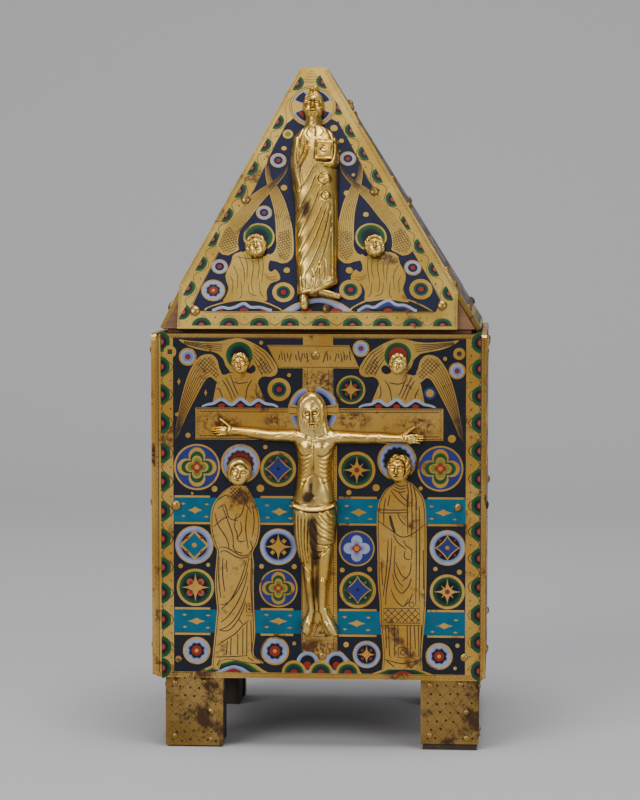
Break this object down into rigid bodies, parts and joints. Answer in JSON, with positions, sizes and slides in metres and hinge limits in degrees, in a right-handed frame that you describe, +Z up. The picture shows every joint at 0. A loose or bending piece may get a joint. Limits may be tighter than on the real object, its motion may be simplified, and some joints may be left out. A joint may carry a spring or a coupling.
{
  "type": "altar tabernacle",
  "caption": "Hollow box on short legs under a lift-off pyramid roof, clad in gilt copper plates with enamel, relief figures and small relief heads.",
  "frame": {"origin": "on the floor, under the middle of the whole object", "axes": "+Z up, the front with the crucified figure faces -Y, +X to the right as seen from the front"},
  "size_m": [0.1686, 0.1564, 0.3458],
  "materials": {
    "gilt_copper": "satin",
    "figure_gilt": "polished, worn",
    "enamel": "glossy",
    "old_wood": "aged, matt"
  },
  "bodies": {
    "root": {"box_carcass": "old_wood", "front_left_leg": "old_wood", "front_right_leg": "old_wood", "back_left_leg": "old_wood", "back_right_leg": "old_wood", "front_left_leg_sheath": "gilt_copper", "front_right_leg_sheath": "gilt_copper", "back_left_leg_sheath": "gilt_copper", "back_right_leg_sheath": "gilt_copper", "front_plate": "gilt_copper", "back_plate": "gilt_copper", "left_plate": "gilt_copper", "right_plate": "gilt_copper", "roof_core": "old_wood", "roof_front_plate": "gilt_copper", "roof_back_plate": "gilt_copper", "roof_left_plate": "gilt_copper", "roof_right_plate": "gilt_copper", "crucified_figure": "figure_gilt", "robed_figure": "figure_gilt", "left_mourner_head": "figure_gilt", "right_mourner_head": "figure_gilt", "upper_left_angel_head": "figure_gilt", "upper_right_angel_head": "figure_gilt", "roof_left_angel_head": "figure_gilt", "roof_right_angel_head": "figure_gilt", "titulus_nail": "gilt_copper", "band_left_nail": "gilt_copper", "band_right_nail": "gilt_copper", "lower_left_nail": "gilt_copper", "lower_right_nail": "gilt_copper", "cross_foot_nail": "gilt_copper", "roof_left_corner_nail": "gilt_copper", "roof_right_corner_nail": "gilt_copper", "roof_left_nail": "gilt_copper", "roof_right_nail": "gilt_copper", "roof_foot_nail": "gilt_copper"}
  },
  "joints": []
}
